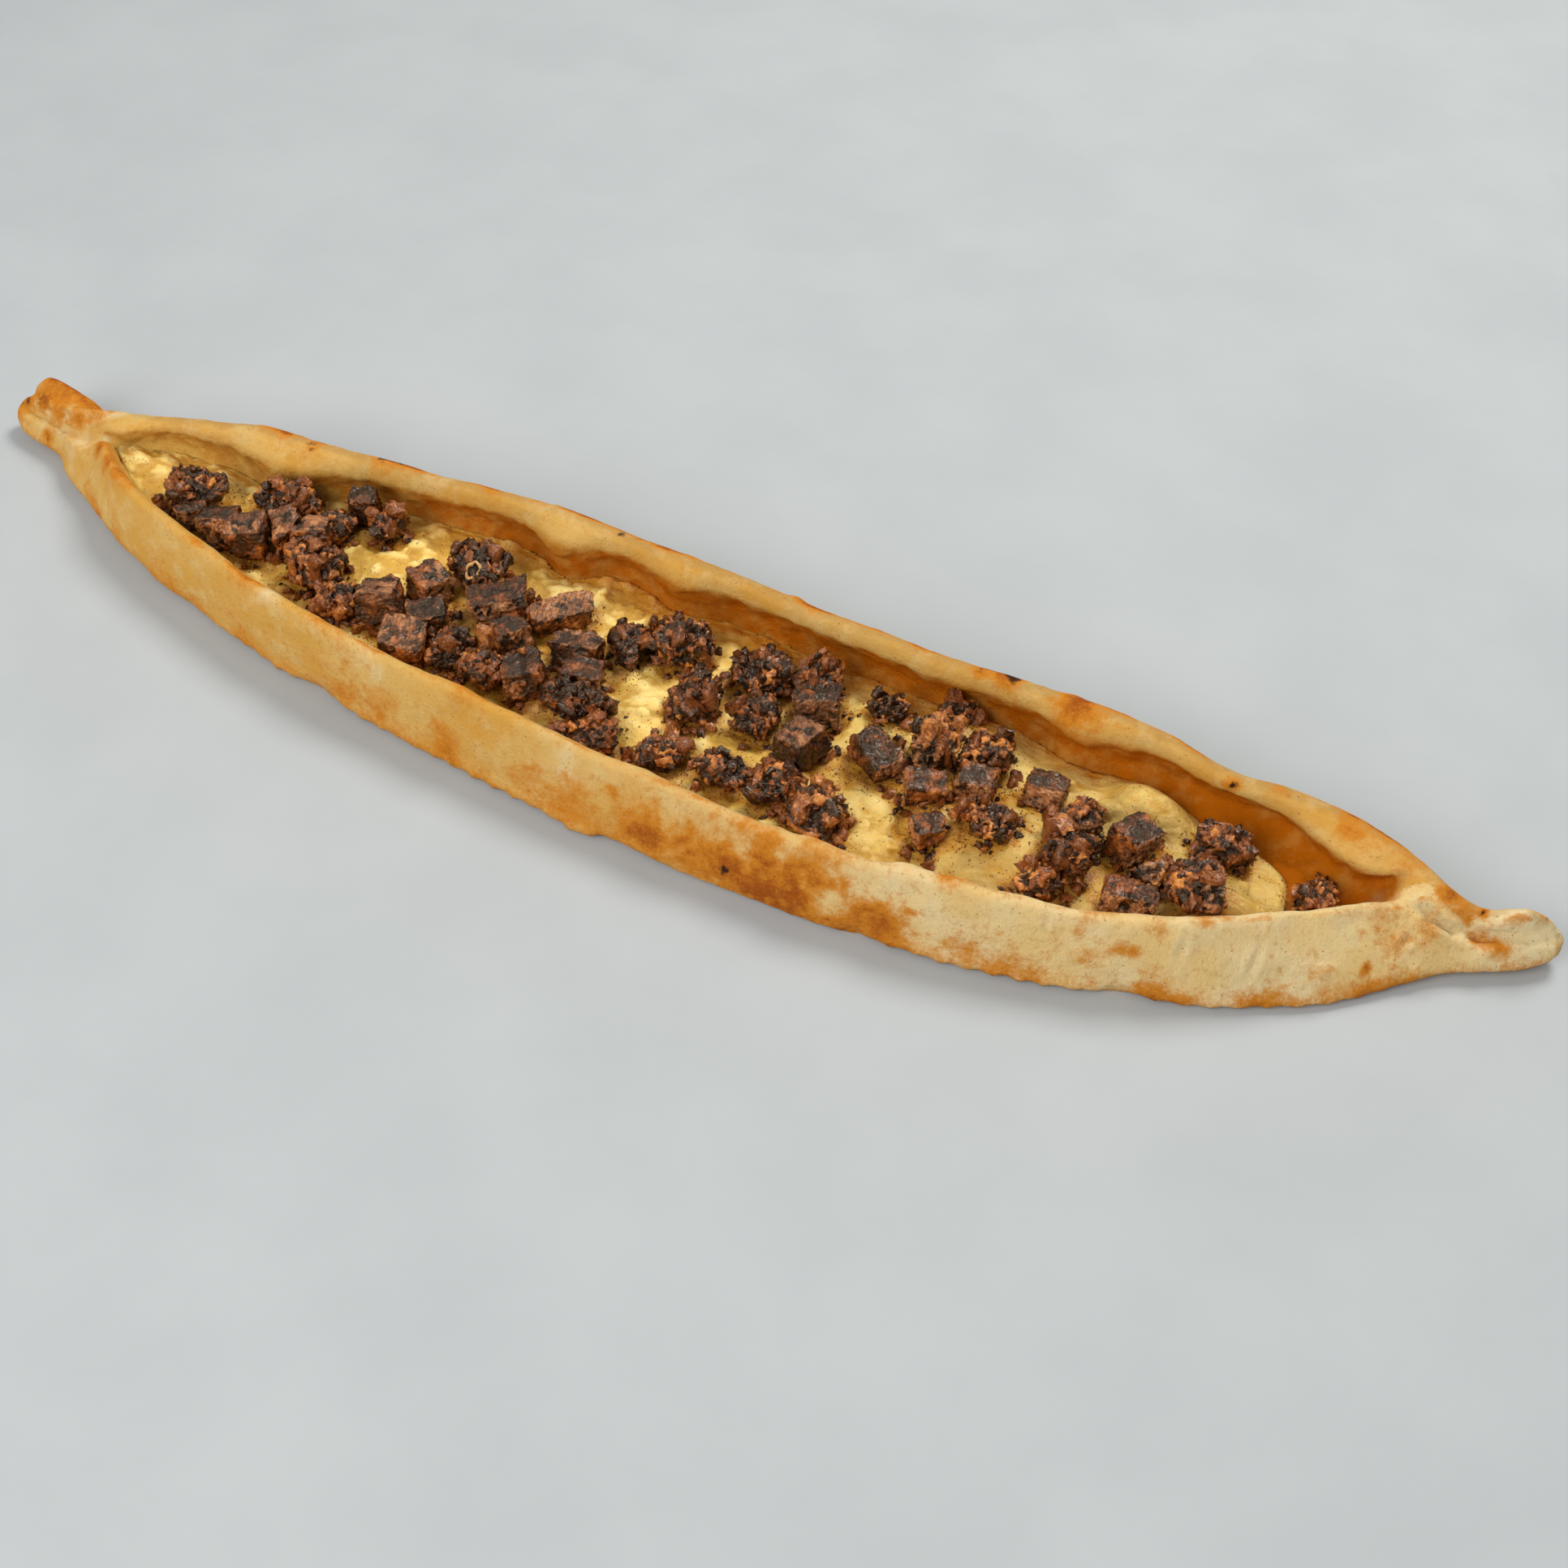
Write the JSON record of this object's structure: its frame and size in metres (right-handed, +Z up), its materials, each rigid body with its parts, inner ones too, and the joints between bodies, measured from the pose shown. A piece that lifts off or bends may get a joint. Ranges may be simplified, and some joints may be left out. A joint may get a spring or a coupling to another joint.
{
  "type": "filled boat-shaped flatbread",
  "caption": "Long boat of baked dough with pinched ends and rolled rims, filled with melted cheese and cubes of roast meat.",
  "frame": {"origin": "middle of the bounding box seen from above, on the plane that the underside rests on", "axes": "+X from the left pinched end to the right one, +Y from the near rim to the far rim, +Z up"},
  "size_m": [0.498, 0.102, 0.0278],
  "materials": {
    "baked_dough": "matte baked dough, pale golden with browned and charred patches",
    "melted_cheese": "melted cheese, pale yellow, satin with oily spots",
    "roast_meat": "roast meat, dark brown and glossy with fat"
  },
  "bodies": {
    "root": {"crust": "baked_dough", "cheese": "melted_cheese", "meat_01": "roast_meat", "meat_02": "roast_meat", "meat_03": "roast_meat", "meat_04": "roast_meat", "meat_05": "roast_meat", "meat_06": "roast_meat", "meat_07": "roast_meat", "meat_08": "roast_meat", "meat_09": "roast_meat", "meat_10": "roast_meat", "meat_11": "roast_meat", "meat_12": "roast_meat", "meat_13": "roast_meat", "meat_14": "roast_meat", "meat_15": "roast_meat", "meat_16": "roast_meat", "meat_17": "roast_meat", "meat_18": "roast_meat", "meat_19": "roast_meat", "meat_20": "roast_meat", "meat_21": "roast_meat", "meat_22": "roast_meat", "meat_23": "roast_meat", "meat_24": "roast_meat", "meat_25": "roast_meat", "meat_26": "roast_meat", "meat_27": "roast_meat", "meat_28": "roast_meat", "meat_29": "roast_meat", "meat_30": "roast_meat", "meat_31": "roast_meat", "meat_32": "roast_meat", "meat_33": "roast_meat", "meat_34": "roast_meat", "meat_35": "roast_meat", "meat_36": "roast_meat", "meat_37": "roast_meat", "meat_38": "roast_meat", "meat_39": "roast_meat", "meat_40": "roast_meat", "meat_41": "roast_meat", "meat_42": "roast_meat", "meat_43": "roast_meat", "meat_44": "roast_meat", "meat_45": "roast_meat", "meat_46": "roast_meat", "meat_47": "roast_meat", "meat_48": "roast_meat", "meat_49": "roast_meat", "meat_50": "roast_meat", "meat_51": "roast_meat", "meat_52": "roast_meat", "meat_53": "roast_meat", "meat_54": "roast_meat", "meat_55": "roast_meat", "meat_56": "roast_meat", "meat_57": "roast_meat", "meat_58": "roast_meat"}
  },
  "joints": []
}
